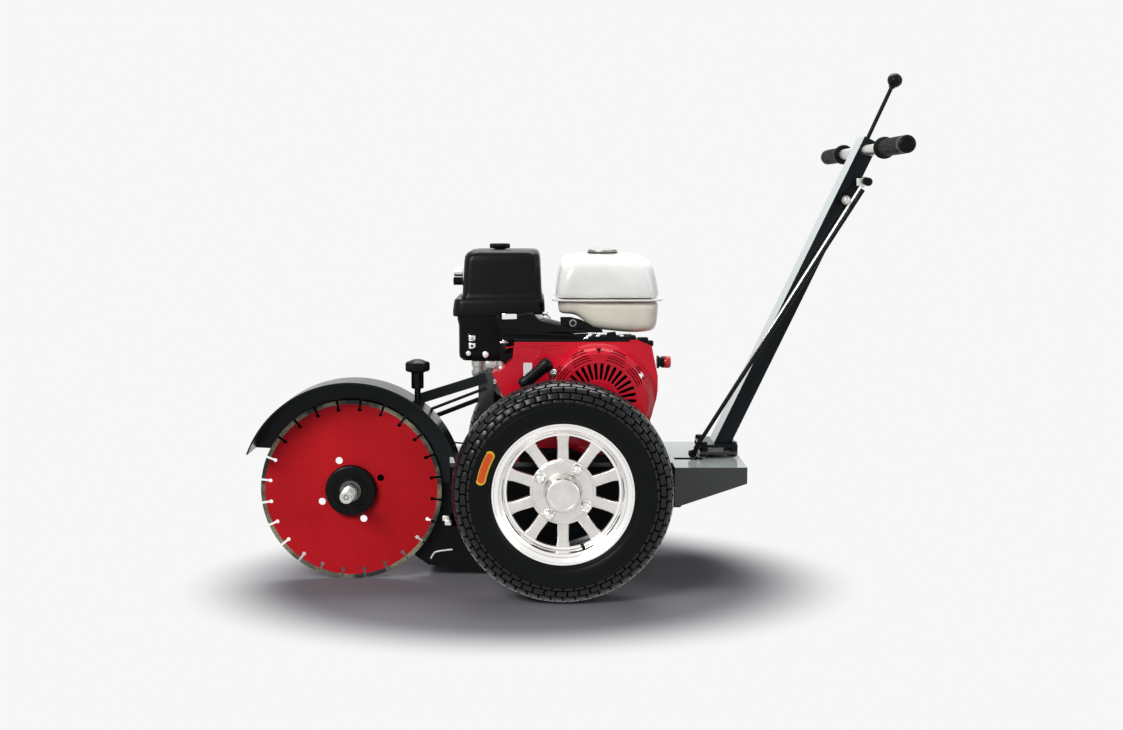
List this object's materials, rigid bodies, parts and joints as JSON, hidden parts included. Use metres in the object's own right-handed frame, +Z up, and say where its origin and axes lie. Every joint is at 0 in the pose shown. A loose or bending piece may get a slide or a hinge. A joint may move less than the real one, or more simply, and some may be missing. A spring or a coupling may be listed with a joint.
{
  "type": "lawn edger",
  "caption": "Wheeled lawn edger: vertical cutting disc under a half-moon guard, petrol engine over a black deck, leaning handle column with cross bar and clutch lever.",
  "frame": {"origin": "ground point under the middle of the overall box", "axes": "+X towards the handlebar at the rear, -Y the side with the cutting disc, +Z up"},
  "size_m": [1.2875, 0.768, 0.9988],
  "materials": {
    "slate_paint": "satin",
    "black_paint": "satin",
    "engine_red": "gloss",
    "disc_red": "satin",
    "column_paint": "satin",
    "zinc": "satin",
    "steel": "ground",
    "alloy": "polished",
    "tyre_rubber": "matt",
    "rubber": "matt",
    "cast_alloy": "cast",
    "plastic_black": "moulded",
    "tank_cream": "moulded",
    "switch_red": "moulded",
    "cast_iron": "cast"
  },
  "bodies": {
    "chassis": {"air_cleaner_base": "plastic_black", "air_cleaner_cover": "plastic_black", "axle": "steel", "belly_plate": "slate_paint", "belt_cover": "slate_paint", "blade_guard": "slate_paint", "carburettor": "cast_alloy", "control_plate": "black_paint", "crankcase": "cast_alloy", "cylinder_head": "cast_alloy", "deck_plate": "slate_paint", "drive_belt": "rubber", "fan_shroud": "engine_red", "foot_plate": "slate_paint", "fuel_tank": "tank_cream", "grip_left": "rubber", "grip_right": "rubber", "guard_brace": "black_paint", "guard_strut": "slate_paint", "handle_column": "column_paint", "handlebar_tubes": "zinc", "mount_bolts": "zinc", "muffler": "black_paint", "rear_box": "slate_paint", "recoil_cover": "engine_red", "rubber_mounts": "rubber", "side_plate_left": "slate_paint", "side_plate_right": "slate_paint", "spindle_bearings": "steel", "spindle_housing": "cast_iron"},
    "wheel_left": {"tyre_left": "tyre_rubber", "rim_left": "alloy", "hub_left": "alloy", "lug_nuts_left": "zinc"},
    "wheel_right": {"tyre_right": "tyre_rubber", "rim_right": "alloy", "hub_right": "alloy", "lug_nuts_right": "zinc"},
    "crank": {"crankshaft": "steel", "flywheel": "cast_alloy", "drive_pulley": "cast_iron"},
    "cutter": {"spindle": "steel", "inner_flange": "steel", "cutting_disc": "disc_red", "outer_flange": "black_paint", "spindle_nut": "zinc", "driven_pulley": "cast_iron"},
    "lever": {"clutch_lever": "black_paint", "lever_ball": "plastic_black"},
    "rod": {"control_rod": "zinc"},
    "shaft": {"cross_shaft": "black_paint"},
    "link": {"pull_link": "zinc"},
    "tensioner": {"idler_arm": "black_paint"},
    "idler": {"idler_pulley": "cast_iron"},
    "starter_grip": {"recoil_grip": "plastic_black"},
    "throttle": {"throttle_lever": "zinc"},
    "switch": {"stop_switch": "switch_red"},
    "tank_cap": {"fuel_cap": "zinc"},
    "filter_knob": {"air_cleaner_knob": "plastic_black"},
    "guard_knob": {"guard_knob": "plastic_black"}
  },
  "joints": [
    {"name": "wheel_left_turn", "type": "hinge", "parent": "chassis", "child": "wheel_left", "pos_m": [-0.038, -0.287, 0.207], "axis": [0, 1, 0], "continuous": true},
    {"name": "wheel_right_turn", "type": "hinge", "parent": "chassis", "child": "wheel_right", "pos_m": [-0.038, 0.287, 0.207], "axis": [0, 1, 0], "continuous": true},
    {"name": "crank_turn", "type": "hinge", "parent": "chassis", "child": "crank", "pos_m": [0.031, 0, 0.364], "axis": [0, 1, 0], "continuous": true},
    {"name": "disc_turn", "type": "hinge", "parent": "chassis", "child": "cutter", "pos_m": [-0.453, 0, 0.178], "axis": [0, 1, 0], "continuous": true},
    {"name": "clutch_lever_swing", "type": "hinge", "parent": "chassis", "child": "lever", "pos_m": [0.52034, -0.04, 0.7452], "axis": [0, 1, 0], "range_deg": [0, 25]},
    {"name": "control_rod_swing", "type": "hinge", "parent": "lever", "child": "rod", "pos_m": [0.55977, -0.06, 0.7821], "axis": [0, 1, 0], "range_deg": [-23, 0]},
    {"name": "cross_shaft_turn", "type": "hinge", "parent": "chassis", "child": "shaft", "pos_m": [0.24, 0, 0.21], "axis": [0, 1, 0], "range_deg": [-21.5, 0]},
    {"name": "pull_link_swing", "type": "hinge", "parent": "shaft", "child": "link", "pos_m": [0.24, 0.128, 0.168], "axis": [0, 1, 0], "range_deg": [0, 21.5]},
    {"name": "idler_swing", "type": "hinge", "parent": "chassis", "child": "tensioner", "pos_m": [-0.098, 0.14, 0.146], "axis": [0, 1, 0], "range_deg": [-21.5, 0]},
    {"name": "idler_turn", "type": "hinge", "parent": "tensioner", "child": "idler", "pos_m": [-0.15711, 0.184, 0.21119], "axis": [0, 1, 0], "continuous": true},
    {"name": "starter_pull", "type": "slide", "parent": "chassis", "child": "starter_grip", "axis": [-0.6293, 0, 0.7771], "range_m": [0, 0.45]},
    {"name": "throttle_swing", "type": "hinge", "parent": "chassis", "child": "throttle", "pos_m": [-0.084, -0.128, 0.5], "axis": [0, 1, 0], "range_deg": [-15, 15]},
    {"name": "stop_switch_turn", "type": "hinge", "parent": "chassis", "child": "switch", "pos_m": [0.15, -0.136, 0.432], "axis": [1, 0, 0], "range_deg": [0, 60]},
    {"name": "fuel_cap_turn", "type": "hinge", "parent": "chassis", "child": "tank_cap", "pos_m": [0.0445, 0, 0.643], "axis": [0, 0, 1], "range_deg": [0, 90]},
    {"name": "filter_knob_turn", "type": "hinge", "parent": "chassis", "child": "filter_knob", "pos_m": [-0.1625, 0, 0.65], "axis": [0, 0, 1], "range_deg": [0, 360]},
    {"name": "guard_knob_turn", "type": "hinge", "parent": "chassis", "child": "guard_knob", "pos_m": [-0.317, -0.165, 0.4], "axis": [0, 0, 1], "range_deg": [0, 360]}
  ],
  "couplings": [
    {"joint": "disc_turn", "follows": "crank_turn", "ratio": 1},
    {"joint": "idler_turn", "follows": "crank_turn", "ratio": -2},
    {"joint": "control_rod_swing", "follows": "clutch_lever_swing", "ratio": -0.914},
    {"joint": "cross_shaft_turn", "follows": "clutch_lever_swing", "ratio": -0.85},
    {"joint": "pull_link_swing", "follows": "clutch_lever_swing", "ratio": 0.85},
    {"joint": "idler_swing", "follows": "clutch_lever_swing", "ratio": -0.85}
  ]
}
